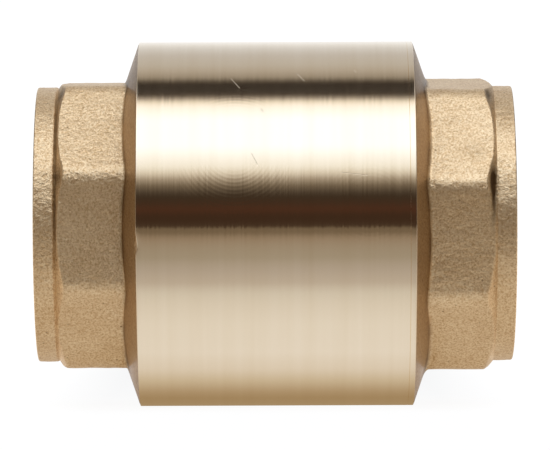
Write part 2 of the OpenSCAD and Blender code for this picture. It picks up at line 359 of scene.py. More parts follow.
def scratch(add, here, start, end, half_width):
    """1 in a thin straight scratch between two points (x, z) of the camera's side."""
    ends = [Vector((x, -math.sqrt(BARREL_R**2 - z * z), z)) for x, z in (start, end)]
    along = (ends[1] - ends[0]).normalized()
    offset = vector_maths(add, "SUBTRACT", here, ends[0])
    run = vector_maths(add, "DOT_PRODUCT", offset, along)
    distance = vector_maths(add, "LENGTH", offset)
    run_squared = maths(add, "MULTIPLY", run, run)
    gap_squared = maths(add, "SUBTRACT", maths(add, "MULTIPLY", distance, distance), run_squared)
    gap = maths(add, "SQRT", maths(add, "MAXIMUM", gap_squared, 0.0))
    inside = window(add, gap, -1.0, half_width, half_width)
    return maths(add, "MULTIPLY", inside, window(add, run, 0.0, (ends[1] - ends[0]).length, 0.3))


# The barrel's marks on the camera's side. A scratch is two points (x, z), and an arc set is
# its middle, its inner and outer reach, and the arcs' spacing
SCRATCHES = [
    ((-8.2, 27.6), (-6.8, 26.0)),
    ((-4.3, 13.1), (-3.3, 11.2)),
    ((-2.6, 21.9), (-2.3, 21.5)),
    ((4.4, 28.6), (5.6, 27.3)),
    ((13.0, 9.6), (17.2, 9.1)),
    ((15.2, 29.3), (15.5, 29.0)),
]
SCRATCH_HALF_W, SCRATCH_DEPTH = 0.035, 0.03
CLEAR_ARCS = ((-7.6, -32.7, 13.7), 6.0, 10.5, 0.75)
FAINT_ARCS = ((18.0, -35.3, 4.0), 6.0, 8.5, 0.8)
FAINT_SHARE = 0.3
ARC_DEPTH = 0.0008
RING_LEAN = 0.028


def buffed_and_scratched(add, here, normal):
    """Bends a normal with the barrel's buffing arcs and scratches."""
    clear = buffing_arcs(add, here, *CLEAR_ARCS)
    arcs = maths(add, "MULTIPLY_ADD", buffing_arcs(add, here, *FAINT_ARCS), FAINT_SHARE, clear)
    buffed = bump(add, 1.0, ARC_DEPTH, arcs, normal)
    cuts = 0.0
    for start, end in SCRATCHES:
        cuts = maths(add, "MAXIMUM", cuts, scratch(add, here, start, end, SCRATCH_HALF_W))
    return bump(add, 1.0, SCRATCH_DEPTH, cuts, buffed, sinks=True)


def combed(add, normal):
    """Leans each ring of a normal a little up or down, which combs the edges of reflections."""
    around = vector_maths(add, "CROSS_PRODUCT", (1, 0, 0), normal)
    rings = noise_at(add, millimetres(add, (1, 0.01, 0.01)), 3.4, 1.0, 0.5)
    lean = maths(add, "MULTIPLY", maths(add, "SUBTRACT", rings, 0.5), RING_LEAN)
    leaning = add("ShaderNodeVectorMath", {0: around, "Scale": lean}, operation="SCALE").outputs[0]
    return vector_maths(add, "NORMALIZE", vector_maths(add, "ADD", normal, leaning))


def turned_brass(name, line_depth, anisotropy, roughness, marked=False):
    """Brass turned about the bore: fine rings that spread reflections along the bore."""
    add, finish = new_material(name)
    rings = noise_at(add, millimetres(add, (1, 0.01, 0.01)), 2.6, 3.0, 0.7)
    broad = noise_at(add, millimetres(add, (1, 0.02, 0.02)), 0.35, 2.0)
    normal = bump(add, 1.0, line_depth, rings)
    if marked:
        normal = buffed_and_scratched(add, millimetres(add), normal)
    shader = add("ShaderNodeBsdfPrincipled", {
        "Base Color": ramp(add, broad, [(0.3, (0.86, 0.715, 0.51)), (0.7, (0.89, 0.75, 0.55))]),
        "Metallic": 1.0,
        "Roughness": between(add, rings, roughness * 0.8, roughness * 1.25),
        "Anisotropic": anisotropy,
        "Anisotropic Rotation": 0.25,
        "Tangent": add("ShaderNodeTangent", direction_type="RADIAL", axis="X").outputs[0],
        "Normal": combed(add, normal),
    })
    return finish(shader.outputs[0])


GRAIN_TONES = [(0.34, (0.60, 0.40, 0.20)), (0.48, (0.81, 0.595, 0.35)), (0.66, (0.97, 0.78, 0.50))]
PIT_TONE = (0.42, 0.28, 0.14, 1)
# Painted shade: the dark tone laid into the castings' hollows and the crevice at the cone's foot
PAINTED_SHADE_TONE = (0.10, 0.055, 0.022, 1)
CAST_ROUGH = 0.52


def cast_brass(name, grain_depth, seed, smooth=0.33, tint=(1, 1, 1), film=0.0):
    """Blasted casting: a sandy grain, broad soft patches, a few dark pits, and painted shade: a dark
    tone laid into its hollows and crevices where the mesh attribute made for it says. A film is a smooth
    clear layer, seen at a slant."""
    add, finish = new_material(name)
    here = vector_maths(add, "ADD", millimetres(add), (seed, seed, seed))
    grain = noise_at(add, here, 2.6, 3.0, 0.7)
    swell = noise_at(add, here, 0.9, 2.0, 0.5)
    patches = noise_at(add, here, 0.14, 3.0, 0.55)
    cells = add("ShaderNodeTexVoronoi", {"Vector": here, "Scale": 0.36}, feature="F1").outputs["Distance"]
    off_pits = remap(add, cells, 0.04, 0.09)
    skin = maths(add, "MULTIPLY_ADD", swell, 1.8, grain)
    height = maths(add, "ADD", skin, maths(add, "MULTIPLY", off_pits, 0.5))
    patchy = ramp(add, patches, [(0.35, (0.93, 0.90, 0.86)), (0.65, (1.0, 1.0, 1.0))])
    tone = mix(add, 1.0, ramp(add, grain, GRAIN_TONES), patchy, "MULTIPLY")
    pitted = mix(add, off_pits, PIT_TONE, tone)
    # Painted shade, as strong as the mesh attribute says
    shade_mark = add("ShaderNodeAttribute", attribute_name="painted_shade").outputs["Fac"]
    shaded_here = maths(add, "MINIMUM", shade_mark, 1.0)
    shaded = mix(add, shaded_here, pitted, PAINTED_SHADE_TONE)
    shader = add("ShaderNodeBsdfPrincipled", {
        "Base Color": mix(add, 1.0, shaded, (*tint, 1), "MULTIPLY"),
        "Metallic": 1.0,
        "Roughness": between(add, grain, CAST_ROUGH, smooth),
        "Coat Weight": film,
        "Coat Roughness": 0.12,
        "Normal": bump(add, 1.0, grain_depth, height),
    })
    return finish(shader.outputs[0])


def rubber():
    add, finish = new_material("nitrile_rubber")
    here = millimetres(add)
    skin = noise_at(add, here, 3.0, 3.0)
    bloom = noise_at(add, here, 0.25, 2.0)
    shader = add("ShaderNodeBsdfPrincipled", {
        "Base Color": ramp(add, bloom, [(0.3, (0.016, 0.016, 0.017)), (0.7, (0.032, 0.031, 0.030))]),
        "Roughness": between(add, skin, 0.45, 0.65),
        "Normal": bump(add, 0.5, 0.03, skin),
    })
    return finish(shader.outputs[0])


def ptfe():
    add, finish = new_material("ptfe")
    here = millimetres(add)
    cloud = noise_at(add, here, 0.5, 2.0)
    lines = noise_at(add, millimetres(add, (1, 0.02, 0.02)), 4.0, 2.0)
    shader = add("ShaderNodeBsdfPrincipled", {
        "Base Color": ramp(add, cloud, [(0.3, (0.80, 0.79, 0.75)), (0.7, (0.88, 0.87, 0.84))]),
        "Roughness": between(add, lines, 0.35, 0.5),
        "Subsurface Weight": 0.15,
        "Subsurface Radius": (0.002, 0.002, 0.0018),
        "Subsurface Scale": 1.0,
        "Normal": bump(add, 0.6, 0.02, lines),
    })
    return finish(shader.outputs[0])


def stainless(name, line_scale, roughness, tint):
    """Steel drawn, ground or turned about the bore."""
    add, finish = new_material(name)
    lines = noise_at(add, millimetres(add, (1, 0.04, 0.04)), line_scale, 3.0)
    smears = noise_at(add, millimetres(add), 0.4, 2.0)
    light = tuple(c * 1.08 for c in tint)
    shader = add("ShaderNodeBsdfPrincipled", {
        "Base Color": ramp(add, smears, [(0.3, tint), (0.7, light)]),
        "Metallic": 1.0,
        "Roughness": between(add, lines, roughness * 0.8, roughness * 1.3),
        "Normal": bump(add, 0.7, 0.012, lines),
    })
    return finish(shader.outputs[0])


barrel_brass = turned_brass("turned_brass", line_depth=0.005, anisotropy=0.9, roughness=0.125, marked=True)
machined_brass = turned_brass("machined_brass", line_depth=0.008, anisotropy=0.4, roughness=0.24)
inlet_casting = cast_brass("inlet_casting", grain_depth=0.12, seed=0)
outlet_casting = cast_brass("outlet_casting", grain_depth=0.085, seed=40)
# The shoulder's darker brown tint is partly the cone's own tone and partly painted shade, since the cone
# faces the studio's dark ends
shoulder_brass = cast_brass(
    "shoulder_brass",
    grain_depth=0.05,
    seed=80,
    smooth=0.38,
    tint=(0.53, 0.445, 0.33),
    film=0.22,
)
nitrile = rubber()
fluoropolymer = ptfe()
ground_steel = stainless("ground_steel", line_scale=5.0, roughness=0.24, tint=(0.60, 0.59, 0.57))
wire_steel = stainless("wire_steel", line_scale=1.5, roughness=0.2, tint=(0.56, 0.55, 0.53))


# ---------------------------------------------------------------- body and cap

SECTOR_SAMPLES = 56

# Heights of the blends and depths of the marks in the castings
CHAMFER_BLEND = 0.35
COLLAR_BLEND = 0.08
GROOVE_HALF_W = 0.22
WAVINESS = 0.08
# Painted shade: a made-up depth and width for the crevice at the cone's foot, and how dark each millimetre of
# depth paints the casting
CREVICE_DEPTH, CREVICE_HALF_W = 0.14, 0.38
SHADE_PER_MM = 2.2


def octagon_angles(turn):
    """Angles round one wrench end, closer together near its eight corners."""
    u = np.linspace(-1, 1, SECTOR_SAMPLES, endpoint=False)
    sector = SECTOR_DEG / 2 * (0.45 * u + 0.55 * u**3)
    first_corner = SECTOR_DEG / 2 - turn
    all_deg = np.concatenate([first_corner + SECTOR_DEG * k + sector for k in range(WRENCH_FLATS)])
    return np.radians(all_deg)


def octagon_radius(angles, turn):
    """The rounded octagon's radius at each angle. One flat faces -Y, leaning down by turn."""
    half = math.radians(SECTOR_DEG / 2)
    phase = angles + math.radians(turn)
    off_corner = np.abs(np.mod(phase, 2 * half) - half)
    middle = (FLAT_R - CORNER_ROUND) / math.cos(half)
    tangent = math.atan2(CORNER_ROUND * math.sin(half), middle + CORNER_ROUND * math.cos(half))
    flat = FLAT_R / np.cos(half - off_corner)
    inside = np.maximum(CORNER_ROUND**2 - (middle * np.sin(off_corner)) ** 2, 0)
    arc = middle * np.cos(off_corner) + np.sqrt(inside)
    return np.where(off_corner < tangent, arc, flat)


def cast_waviness(x, angles, seed, depth):
    """Uneven cast skin at one station, from smooth noise a few millimetres across."""
    def at(angle):
        place = Vector((x * 0.28, math.cos(angle) * 7.5, math.sin(angle) * 7.5 + seed))
        return noise.noise(place) + 0.5 * noise.noise(place * 2.3)

    return depth * np.array([at(a) for a in angles])


def eased(count):
    """Fractions from 0 to 1, closer together at both ends."""
    t = np.linspace(0, 1, count)
    return t - np.sin(2 * math.pi * t) / (2 * math.pi) * 0.75


class WrenchEnd(NamedTuple):
    """One end's outside. Stations count away from the valve's middle, and turn is how many
    degrees the flat that faces the camera leans down. The groove is a line cut beside the
    collar, and the fillet is the height of the blend at the cone's foot. Hollows are dips in
    the casting, painted dark as shade: station, degrees round, half width, half turn and depth."""

    shoulder_x: float
    flats_x: float
    chamfer: float
    turn: float
    seed: float
    groove: float
    fillet: float
    chipped: bool
    hollows: list


INLET = WrenchEnd(
    shoulder_x=26.3,
    flats_x=END_X - 4.1,
    chamfer=1.6,
    turn=3.0,
    seed=3.0,
    groove=0.22,
    fillet=1.2,
    chipped=True,
    hollows=[
        (41.9, 40, 0.35, 32, 0.30),
        (41.2, 19, 0.60, 4, 0.28),
        (41.2, 64, 0.55, 4, 0.30),
        (41.9, 5, 0.22, 16, 0.16),
    ],
)
OUTLET = WrenchEnd(
    shoulder_x=26.8,
    flats_x=END_X - 3.7,
    chamfer=2.0,
    turn=7.5,
    seed=11.0,
    groove=0.0,
    fillet=2.2,
    chipped=False,
    hollows=[
        (41.6, 17, 0.70, 5.5, 0.70),
        (41.6, 8, 0.45, 7, 0.35),
        (41.2, 61, 0.55, 4, 0.35),
        (42.0, 40, 0.20, 22, 0.06),
        (38.0, 31, 1.8, 3, 0.06),
    ],
)


def cone_foot(angles, end):
    """The stations where the cone meets the flats."""
    return end.shoulder_x + (BARREL_R - octagon_radius(angles, end.turn)) / CONE_SLOPE


def hollow_depth(x, angles, hollows):
    """How deep the smooth hollows are at these stations and angles."""
    depth = np.zeros(len(angles))
    for at_x, at_deg, half_width, half_turn, deepest in hollows:
        off = (angles - math.radians(at_deg) + math.pi) % (2 * math.pi) - math.pi
        depth += deepest * np.exp(-(((x - at_x) / half_width) ** 2) - (off / math.radians(half_turn)) ** 2)
    return depth


def wrench_end_rows(angles, end):
    """Rows from the shoulder's edge to the collar. They follow the curves where the flats
    meet the cone and the corner chamfer."""
    octagon = octagon_radius(angles, end.turn)
    chamfer_slope = (CORNER_R - COLLAR_R) / end.chamfer
    foot_x = cone_foot(angles, end)
    chamfer_x = end.flats_x - (octagon - COLLAR_R) / chamfer_slope
    cone_steps = 1 - eased(15)[:0:-1] * 0.93
    stations = [(end.shoulder_x + t * (foot_x - end.shoulder_x), SHOULDER) for t in cone_steps]
    stations += [(foot_x + t * (chamfer_x - foot_x), CAST) for t in eased(27)]
    stations += [(chamfer_x + t * (end.flats_x - chamfer_x), CAST) for t in eased(11)[1:]]
    stations += [(end.flats_x + d, CAST) for d in (0.08, 0.16, 0.26, 0.38, 0.55, 0.8, 1.2, 1.7, 2.2, 2.6)]
    rows = []
    for x, material in stations:
        cone = BARREL_R - (x - end.shoulder_x) * CONE_SLOPE
        chamfer = COLLAR_R - end.groove + (end.flats_x - x) * chamfer_slope
        collar = COLLAR_R - end.groove * np.exp(-(((x - end.flats_x) / GROOVE_HALF_W) ** 2))
        wrench = smooth_max(smooth_min(octagon, chamfer, CHAMFER_BLEND), collar, COLLAR_BLEND)
        wrench = wrench - hollow_depth(x, angles, end.hollows)
        radius = smooth_max(wrench, cone, end.fillet)
        station = float(np.mean(x))
        fade = min(1, max(0, station - end.shoulder_x - 1.5) / 2) * min(1, (END_X - station) / 1.5)
        rows.append((x, radius + cast_waviness(station, angles, end.seed, WAVINESS * fade), material))
    return rows


def thread_radius(x, angles, hand):
    """A female pipe thread's surface: flat-topped waves that climb one pitch a turn."""
    turns = (x / THREAD_PITCH - hand * angles / (2 * math.pi)) % 1
    wave = np.clip((4 * np.abs(turns - 0.5) - 1) * 1.3, -1, 1)
    wave = wave * (3 - wave * wave) / 2
    return (THREAD_MAJOR_R + THREAD_MINOR_R) / 2 + wave * (THREAD_MAJOR_R - THREAD_MINOR_R) / 2


def socket_rows(angles, hand):
    """Rows from the end face's inner edge down the thread to its relief groove."""
    rows = []
    for x in np.linspace(END_X, THREAD_END_X + 0.05, 72):
        mouth = MOUTH_R - (END_X - x) * (MOUTH_R - THREAD_MINOR_R) / MOUTH_DEPTH
        rows.append((x, np.maximum(thread_radius(x, angles, hand), mouth), MACHINED))
    rows.append((THREAD_END_X, RELIEF_R, MACHINED))
    rows.append((SOCKET_FLOOR_X, RELIEF_R, MACHINED))
    return rows


def end_face_rows():
    """Rows over the collar's rounded edge and the end face, up to the socket's mouth."""
    corners = [
        (END_X - 1.1, COLLAR_R, 0, CAST),
        (END_X, COLLAR_R, COLLAR_EDGE, CAST),
        (END_X, COLLAR_R - COLLAR_EDGE - 0.1, 0, MACHINED),
        (END_X, MOUTH_R + 0.12, 0, MACHINED),
    ]
    return rounded(corners, closed=False)


def towards_inlet(rows):
    return [(-x, r, material) for x, r, material in rows]


JOINT_BREAK = 0.05
SHOULDER_BREAK = 0.14
CHIP_ANGLE = math.radians(-6.5)
CHIP_HALF_WIDTH = math.radians(2.2)
CHIP_DEPTH = 0.4


def painted_shade(piece, hand, end):
    """Paints shade into a casting's hollows and the crevice round its cone's foot, darker where
    they are deeper, in the mesh attribute that its material reads."""
    mesh = piece.data
    places = np.empty(3 * len(mesh.vertices))
    mesh.vertices.foreach_get("co", places)
    x, y, z = places.reshape(-1, 3).T / MM
    angles = np.arctan2(z, -y)
    patchy = 1.1 + np.sin(7 * angles) * np.sin(12 * angles)
    off_foot = hand * x - cone_foot(angles, end)
    crevice = CREVICE_DEPTH * patchy * np.exp(-((off_foot / CREVICE_HALF_W) ** 2))
    is_outside = np.hypot(y, z) > COLLAR_R - 1.5
    depth = (hollow_depth(hand * x, angles, end.hollows) + crevice) * is_outside
    # The painted shade's strength goes into the mesh attribute
    mesh.attributes.new("painted_shade", "FLOAT", "POINT").data.foreach_set("value", SHADE_PER_MM * depth)


def shoulder_edge_rows(angles, end):
    """The barrel's broken edge, with a small bite out of it where the end is chipped."""
    bite = np.zeros(len(angles))
    if end.chipped:
        off = (angles - CHIP_ANGLE + math.pi) % (2 * math.pi) - math.pi
        bite = CHIP_DEPTH * np.exp(-((off / CHIP_HALF_WIDTH) ** 4))
    rows = [(end.shoulder_x - 1.2, BARREL_R, TURNED)]
    for t in (0.0, 0.2, 0.4, 0.6, 0.8, 1.0):
        back, drop = (1 - t) ** 2 * SHOULDER_BREAK, t * t * SHOULDER_BREAK
        x = end.shoulder_x - back - bite * (1 - 0.7 * t)
        rows.append((x, BARREL_R - drop - bite * 0.5 * t, TURNED if t < 0.5 else SHOULDER))
    return rows


def valve_body():
    angles = octagon_angles(INLET.turn)
    outside = [(JOINT_X, BARREL_R - JOINT_BREAK, TURNED)]
    barrel_stations = np.linspace(JOINT_X - JOINT_BREAK, 2 - INLET.shoulder_x, 12)
    outside += [(x, BARREL_R, TURNED) for x in barrel_stations]
    outside += towards_inlet(shoulder_edge_rows(angles, INLET) + wrench_end_rows(angles, INLET))
    outside += towards_inlet(end_face_rows() + socket_rows(angles, -1))
    inside = rounded([
        (-SOCKET_FLOOR_X, 22.0, 0, MACHINED),
        (-SOCKET_FLOOR_X, INLET_POCKET_R, 0.2, MACHINED),
        (SNAP_GROOVE_X0, INLET_POCKET_R, 0.05, MACHINED),
        (SNAP_GROOVE_X0, SNAP_GROOVE_R, 0.05, MACHINED),
        (SNAP_GROOVE_X1, SNAP_GROOVE_R, 0.05, MACHINED),
        (SNAP_GROOVE_X1, INLET_POCKET_R, 0.05, MACHINED),
        (INLET_LEDGE_X, INLET_POCKET_R, 0.1, MACHINED),
        (INLET_LEDGE_X, PORT_R, 0.25, MACHINED),
        (SEAT_X, PORT_R, 0.2, MACHINED),
        (SEAT_X, SEAT_R, 0.3, MACHINED),
        (SEAT_X - SEAT_HEIGHT, SEAT_FOOT_R, 0.4, MACHINED),
        (SEAT_X - SEAT_HEIGHT, CHAMBER_R, 2.0, MACHINED),
        (OUTLET_LEDGE_X, CHAMBER_R, 0.15, MACHINED),
        (OUTLET_LEDGE_X, JOINT_BORE_R, 0.1, MACHINED),
        (O_RING_POCKET_X, JOINT_BORE_R, 0.1, MACHINED),
        (O_RING_POCKET_X, O_RING_POCKET_R, 0.1, MACHINED),
        (JOINT_X, O_RING_POCKET_R, 0, MACHINED),
    ], closed=False)
    materials = [barrel_brass, inlet_casting, machined_brass, shoulder_brass]
    piece = revolve("valve_body_shell", outside + inside, materials, angles)
    painted_shade(piece, -1, INLET)
    return dress(piece, "housing", "brass", "valve_body")


def end_cap():
    angles = octagon_angles(OUTLET.turn)
    outside = [(JOINT_X, SPIGOT_RELIEF_R, TURNED), (JOINT_X, BARREL_R - JOINT_BREAK, TURNED)]
    outside.append((JOINT_X + JOINT_BREAK, BARREL_R, TURNED))
    outside += shoulder_edge_rows(angles, OUTLET)[1:] + wrench_end_rows(angles, OUTLET)
    outside += end_face_rows() + socket_rows(angles, 1)
    inside = rounded([
        (SOCKET_FLOOR_X, 22.0, 0, MACHINED),
        (SOCKET_FLOOR_X, OUTLET_PORT_R, 0.3, MACHINED),
        (OUTLET_PORT_X, OUTLET_PORT_R, 0.5, MACHINED),
        (SPIGOT_X + 2, SPIGOT_MOUTH_R, 0.8, MACHINED),
        (SPIGOT_X, SPIGOT_MOUTH_R, 0.4, MACHINED),
        (SPIGOT_X, SPIGOT_R, 0.4, MACHINED),
        (SPIGOT_RELIEF_X, SPIGOT_R, 0.1, MACHINED),
        (SPIGOT_RELIEF_X, SPIGOT_RELIEF_R, 0, MACHINED),
    ], closed=False)
    materials = [barrel_brass, outlet_casting, machined_brass, shoulder_brass]
    piece = revolve("end_cap_shell", outside + inside, materials, angles)
    painted_shade(piece, 1, OUTLET)
    return dress(piece, "housing", "brass", "end_cap")


def dress(piece, body, slot, *nodes):
    """Puts a finished piece on its CAD body and hides what it replaces. The slot is not used."""
    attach(piece, body)
    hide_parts(*nodes)
    return piece


# ---------------------------------------------------------------- guides, bushes, snap ring

GUIDE_ARMS = 3
ARM_HALF_W = 2.25


def plug(name, x0, x1, radius, rounding):
    """A plain round bar about the bore, with its rims rounded."""
    corners = [(x0, 0, 0, 0), (x0, radius, rounding, 0), (x1, radius, rounding, 0), (x1, 0, 0, 0)]
    return revolve(name, rounded(corners, closed=False), [machined_brass], even_angles(96), closed=False)


def stem_guide(name, node, plate, ring_bore_r, hub_r, first_arm_deg):
    """A turned ring and a bored hub, held together by three arms. The plate is the ring's
    first and last station."""
    plate_x0, plate_x1 = plate
    hub_x0, hub_x1, ring_r = span(node)
    ring_corners = [
        (plate_x0, ring_bore_r, 0.4, 0),
        (plate_x1, ring_bore_r, 0.4, 0),
        (plate_x1, ring_r, 0.3, 0),
        (plate_x0, ring_r, 0.3, 0),
    ]
    piece = revolve(name, rounded(ring_corners), [machined_brass], even_angles(144))
    solids = [plug("hub", hub_x0, hub_x1, hub_r, 0.5)]
    for k in range(GUIDE_ARMS):
        low = (plate_x0 + 0.15, -ARM_HALF_W, hub_r - 1)
        high = (plate_x1 - 0.15, ARM_HALF_W, ring_bore_r + 1)
        turn = first_arm_deg + k * 360 / GUIDE_ARMS
        solids.append(block("arm", low, high, turn, machined_brass))
    join_solids(piece, solids)
    join_solids(piece, [plug("bore", hub_x0 - 1, hub_x1 + 1, HUB_BORE_R, 0)], "DIFFERENCE")
    soften_edges(piece, 0.3)
    return dress(piece, "housing", "machined_brass", node)


def bush(name, node, flange_first):
    """A flanged liner. flange_first puts its flange at the inlet end."""
    x0, x1, flange_r = span(node)
    bore_r, sleeve_r, flange_t = 3.05, 4.48, 1.0
    flange_x = x0 + flange_t if flange_first else x1 - flange_t
    if flange_first:
        outer = [(x0, flange_r), (flange_x, flange_r), (flange_x, sleeve_r), (x1, sleeve_r)]
    else:
        outer = [(x0, sleeve_r), (flange_x, sleeve_r), (flange_x, flange_r), (x1, flange_r)]
    corners = [(x0, bore_r, 0.25, 0)] + [(x, r, 0.2, 0) for x, r in outer] + [(x1, bore_r, 0.25, 0)]
    piece = revolve(name, rounded(corners), [fluoropolymer], even_angles(96))
    return dress(piece, "housing", "ptfe", node)


def snap_ring():
    """An open ring, widest at its ends, with a drilled lug on each."""
    x0, x1, ring_r = span("inlet_snap_ring")
    lug_deg, lug_at, lug_r, hole_r, opening_deg = 14, 18.9, 1.9, 0.85, 16
    end_width, thinning = 2.3, 0.35
    angles = even_angles(180)
    away = np.cos(angles + math.pi / 2)
    bore = ring_r - end_width - thinning * (away + 1) / 2 + thinning
    rows = [(x0, bore, 0), (x1, bore, 0), (x1, ring_r, 0), (x0, ring_r, 0)]
    piece = revolve("snap_ring_piece", rows, [wire_steel], angles)

    def pin(angle_deg, radius, reach):
        turn = math.radians(angle_deg)
        made = bmesh.new()
        bmesh.ops.create_cone(made, cap_ends=True, segments=40, radius1=radius * MM, radius2=radius * MM,
                              depth=(x1 - x0 + 2 * reach) * MM)
        centre = Vector(((x0 + x1) / 2, lug_at * math.sin(turn), -lug_at * math.cos(turn))) * MM
        for v in made.verts:
            v.co = Vector((v.co.z, v.co.y, v.co.x)) + centre
        return add_object("pin", made, [wire_steel])

    join_solids(piece, [pin(side * lug_deg, lug_r, 0) for side in (-1, 1)])
    join_solids(piece, [pin(side * lug_deg, hole_r, 1) for side in (-1, 1)], "DIFFERENCE")
    half_gap = 0.93 * ring_r * math.tan(math.radians(opening_deg / 2))
    gap = block("gap", (x0 - 1, -half_gap, -ring_r - 3), (x1 + 1, half_gap, -ring_r * 0.7), 0, wire_steel)
    join_solids(piece, [gap], "DIFFERENCE")
    soften_edges(piece, 0.08)
    return dress(piece, "housing", "spring_steel", "inlet_snap_ring")


def o_ring():
    x0, x1, outer_r = span("cap_o_ring")
    wire_r = (x1 - x0) / 2
    middle_x, middle_r = (x0 + x1) / 2, outer_r - wire_r
    turns = np.linspace(0, 2 * math.pi, 24, endpoint=False)
    rows = [(middle_x + wire_r * math.cos(t), middle_r + wire_r * math.sin(t), 0) for t in turns]
    piece = revolve("cap_o_ring_piece", rows, [nitrile], even_angles(192))
    return dress(piece, "housing", "nitrile", "cap_o_ring")


# ---------------------------------------------------------------- disc assembly

CORE_BORE_R = 4.05
M8_PITCH = 1.25
M8_MINOR_R = 3.35
M8_MAJOR_R = 3.98
RECESS_FLOOR = 1.2
SEAL_T = 2.75
DISC_T = 3.5


def poppet_disc():
    rim_x, boss_x, disc_r = span("poppet_disc")
    front_x = span("disc_seal")[1]
    back_x = front_x + DISC_T
    rim_r, boss_r, boss_bore_r = disc_r - 0.95, 9.0, 7.8
    floor_x = back_x + 1.1
    corners = [
        (front_x, CORE_BORE_R, 0.1, 0),
        (front_x, rim_r, 0.1, 0),
        (rim_x, rim_r, 0.2, 0),
        (rim_x, disc_r, 0.3, 0),
        (back_x, disc_r, 0.6, 0),
        (back_x, boss_r, 0.25, 0),
        (boss_x, boss_r, 0.35, 0),
        (boss_x, boss_bore_r, 0.2, 0),
        (floor_x, boss_bore_r, 0.2, 0),
        (floor_x, CORE_BORE_R, 0.1, 0),
    ]
    piece = revolve("poppet_disc_piece", rounded(corners), [machined_brass], even_angles(192))
    return dress(piece, "poppet", "machined_brass", "poppet_disc")


def disc_seal():
    x0, x1, outer_r = span("disc_seal")
    inner_r = 10.0
    corners = [(x0, inner_r, 0.2, 0), (x0, outer_r, 0.45, 0), (x1, outer_r, 0.3, 0), (x1, inner_r, 0.2, 0)]
    piece = revolve("disc_seal_piece", rounded(corners, steps=5), [nitrile], even_angles(192))
    return dress(piece, "poppet", "nitrile", "disc_seal")


def seal_retainer():
    """A plate that clamps the seal, with a boss through the seal's hole and a recess in it."""
    x0, x1, outer_r = span("seal_retainer")
    plate_x = x1 - SEAL_T
    floor_x = x1 - RECESS_FLOOR
    recess_r, boss_r, chamfer = 8.3, 9.8, 0.6
    corners = [
        (x0, recess_r, 0.25, 0),
        (x0, outer_r - chamfer, 0.25, 0),
        (x0 + chamfer, outer_r, 0.25, 0),
        (plate_x, outer_r, 0.15, 0),
        (plate_x, boss_r, 0.15, 0),
        (x1, boss_r, 0.15, 0),
        (x1, CORE_BORE_R, 0.1, 0),
        (floor_x, CORE_BORE_R, 0.1, 0),
        (floor_x, recess_r, 0.3, 0),
    ]
    piece = revolve("seal_retainer_piece", rounded(corners), [machined_brass], even_angles(192))
    return dress(piece, "poppet", "machined_brass", "seal_retainer")


def screw_radius(x, angles):
    """The stem's male M8 thread."""
    turns = (x / M8_PITCH - angles / (2 * math.pi)) % 1
    wave = np.clip((4 * np.abs(turns - 0.5) - 1) * 1.25, -1, 1)
    return (M8_MAJOR_R + M8_MINOR_R) / 2 + wave * (M8_MAJOR_R - M8_MINOR_R) / 2


def stem():
    x0, x1, collar_r = span("stem")
    collar_x = span("seal_retainer")[1] - RECESS_FLOOR
    collar_t = 1.6
    core_x = span("poppet_disc")[1] - 0.3
    thread_x = span("stem_washer")[1] - 0.4
    end_r, core_r, tip = 3.0, 4.0, 0.5
    angles = even_angles(72)
    front = rounded([
        (x0, 0, 0, 0),
        (x0, end_r - tip, 0.1, 0),
        (x0 + tip, end_r, 0.3, 0),
        (collar_x - collar_t, end_r, 0.3, 0),
        (collar_x - collar_t, collar_r, 0.35, 0),
        (collar_x, collar_r, 0.25, 0),
        (collar_x, core_r, 0.05, 0),
        (thread_x, core_r, 0, 0),
    ], closed=False)
    thread = []
    for x in np.arange(thread_x + 0.1, core_x, M8_PITCH / 10):
        run_out = core_r - max(0, x - (core_x - 0.8))
        thread.append((x, np.minimum(screw_radius(x, angles), run_out), 0))
    back = rounded([
        (core_x, end_r + 0.2, 0, 0),
        (core_x, end_r, 0, 0),
        (x1 - tip, end_r, 0.3, 0),
        (x1, end_r - tip, 0.1, 0),
        (x1, 0, 0, 0),
    ], closed=False)
    piece = revolve("stem_piece", front + thread + back, [ground_steel], angles, closed=False)
    return dress(piece, "poppet", "stainless", "stem")


def stem_washer():
    x0, x1, outer_r = span("stem_washer")
    hole_r = 4.1
    corners = [(x0, hole_r, 0.1, 0), (x0, outer_r, 0.2, 0), (x1, outer_r, 0.4, 0), (x1, hole_r, 0.2, 0)]
    piece = revolve("stem_washer_piece", rounded(corners), [ground_steel], even_angles(96))
    return dress(piece, "poppet", "stainless", "stem_washer")


def stem_nut():
    """A thin hex nut with turned chamfers and a threaded bore."""
    x0, x1, corner_r = span("stem_nut")
    flat_r = corner_r * math.cos(math.radians(30))
    angles = even_angles(144)
    hexagon = flat_r / np.cos((angles + math.pi / 2) % (math.pi / 3) - math.pi / 6)
    slope = math.tan(math.radians(60))
    mouth_r = 4.25
    rows = []
    for x in np.concatenate([np.linspace(x0, x0 + 0.8, 6), np.linspace(x1 - 0.8, x1, 6)]):
        cone = flat_r - 0.15 + slope * min(x - x0, x1 - x)
        rows.append((x, np.minimum(hexagon, cone), 0))
    for x in np.arange(x1, x0 - 0.01, -M8_PITCH / 8):
        mouth = mouth_r - min(x - x0, x1 - x)
        rows.append((x, np.maximum(screw_radius(x, angles) + 0.06, mouth), 0))
    rows.append((x0, mouth_r, 0))
    piece = revolve("stem_nut_piece", rows, [ground_steel], angles)
    return dress(piece, "poppet", "stainless", "stem_nut")


def spring_washer():
    x0, x1, outer_r = span("spring_washer")
    hole_r = 9.1
    corners = [(x0, hole_r, 0.15, 0), (x0, outer_r, 0.2, 0), (x1, outer_r, 0.3, 0), (x1, hole_r, 0.2, 0)]
    piece = revolve("spring_washer_piece", rounded(corners), [ground_steel], even_angles(144))
    return dress(piece, "spring_follower", "stainless", "spring_washer")


# ---------------------------------------------------------------- spring

WIRE_R = 0.55
COIL_TURNS = 7
DEAD_PITCH = 1.22
GROUND = 0.3
COIL_STEPS = 56
WIRE_SIDES = 14


